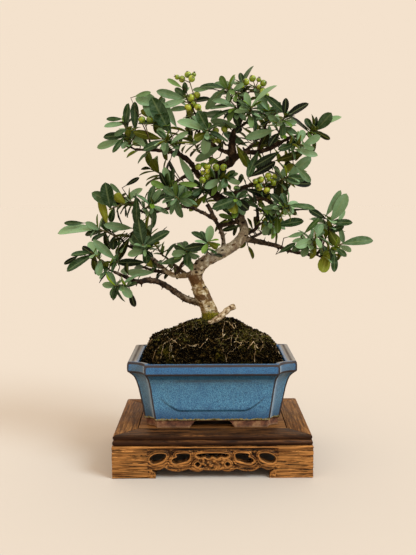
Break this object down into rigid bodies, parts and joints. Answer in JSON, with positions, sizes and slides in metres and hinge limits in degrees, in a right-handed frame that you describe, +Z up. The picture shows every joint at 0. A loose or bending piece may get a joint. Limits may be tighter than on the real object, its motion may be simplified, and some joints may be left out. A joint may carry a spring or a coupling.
{
  "type": "firethorn bonsai",
  "caption": "Small firethorn bonsai with a curved trunk, narrow evergreen leaves and green berries, in a blue glazed rectangular pot on a low carved wooden stand.",
  "frame": {"origin": "middle of the stand's underside, on the surface it stands on", "axes": "+Z up along the tree, +X to the right along the pot's length, -Y towards the viewer, the pot's front"},
  "size_m": [0.3255, 0.137, 0.4161],
  "materials": {
    "stand_top_wood": "dark stained hardwood, satin wax",
    "stand_apron_wood": "brown stained hardwood with open grain, satin wax",
    "blue_glaze": "mottled blue glaze that breaks brown on the edges",
    "drain_mesh": "black woven plastic mesh",
    "soil": "dark crumbly soil with fine roots and moss",
    "bark": "pale grey-brown bark, darker and finer on the twigs",
    "leaf": "leathery dark green, satin upper side, paler matte underside",
    "berry": "unripe green skin with a slight shine"
  },
  "bodies": {
    "root": {"stand_panel": "stand_top_wood", "stand_rail_front": "stand_top_wood", "stand_rail_right": "stand_top_wood", "stand_rail_back": "stand_top_wood", "stand_rail_left": "stand_top_wood", "stand_apron_front": "stand_apron_wood", "stand_apron_right": "stand_apron_wood", "stand_apron_back": "stand_apron_wood", "stand_apron_left": "stand_apron_wood", "pot": "blue_glaze", "drain_mesh_left": "drain_mesh", "drain_mesh_right": "drain_mesh", "soil": "soil", "tree": "bark", "berries_peak": "berry", "berries_inner": "berry", "berries_trunk": "berry", "berries_left": "berry", "berries_right": "berry", "berries_top": "berry", "berries_far_left": "berry", "spray_right_tip_high": "leaf", "spray_right_tip_low": "leaf", "spray_right_fork": "leaf", "spray_right_bend": "leaf", "spray_right_under_crown": "leaf", "spray_right_mid": "leaf", "spray_right_riser": "leaf", "spray_centre": "leaf", "spray_centre_high": "leaf", "spray_centre_left": "leaf", "spray_trunk": "leaf", "spray_left_top_far": "leaf", "spray_left_top_high": "leaf", "spray_left_peak": "leaf", "spray_left_inner": "leaf", "spray_left_mid_high": "leaf", "spray_shoulder_far": "leaf", "spray_shoulder_near": "leaf", "spray_left_far_high": "leaf", "spray_left_far_low": "leaf", "spray_left_mid": "leaf", "spray_left_low": "leaf", "spray_trunk_left": "leaf", "spray_long_left": "leaf", "spray_left_dark": "leaf", "spray_top": "leaf", "spray_top_left": "leaf", "spray_crown_right": "leaf", "spray_crown_mid": "leaf", "spray_crown_far": "leaf", "spray_far_right_top": "leaf", "spray_top_inner": "leaf", "spray_back_low_left": "leaf", "spray_back_low_right": "leaf", "spray_back_mid": "leaf", "spray_back_mid_right": "leaf", "spray_back_mid_left": "leaf", "spray_back_high": "leaf", "spray_back_high_right": "leaf"}
  },
  "joints": []
}
